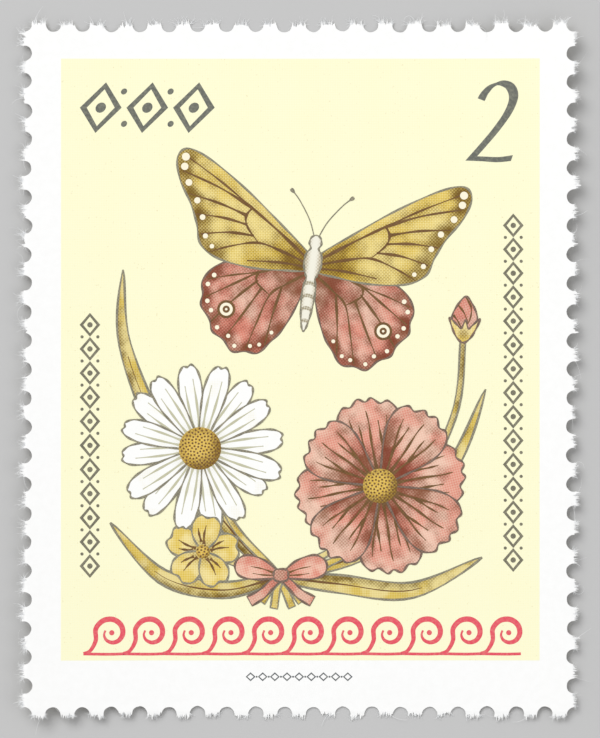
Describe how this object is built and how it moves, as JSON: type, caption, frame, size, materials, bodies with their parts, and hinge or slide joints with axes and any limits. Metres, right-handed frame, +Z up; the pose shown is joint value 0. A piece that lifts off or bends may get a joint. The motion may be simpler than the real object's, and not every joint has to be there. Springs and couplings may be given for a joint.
{
  "type": "postage stamp",
  "caption": "Small upright gummed paper stamp, perforated and torn along all four sides, with a printed panel on its face.",
  "frame": {"origin": "middle of the sheet's underside, on the surface it lies on", "axes": "+Z up out of the printed face, +Y towards the top edge of the picture, +X towards its right edge"},
  "size_m": [0.0274, 0.0344, 0.001],
  "materials": {
    "paper": "white uncoated stamp paper, matt, with printed ink on its face and dry gum on its back"
  },
  "bodies": {
    "root": {"stamp_sheet": "paper"}
  },
  "joints": []
}
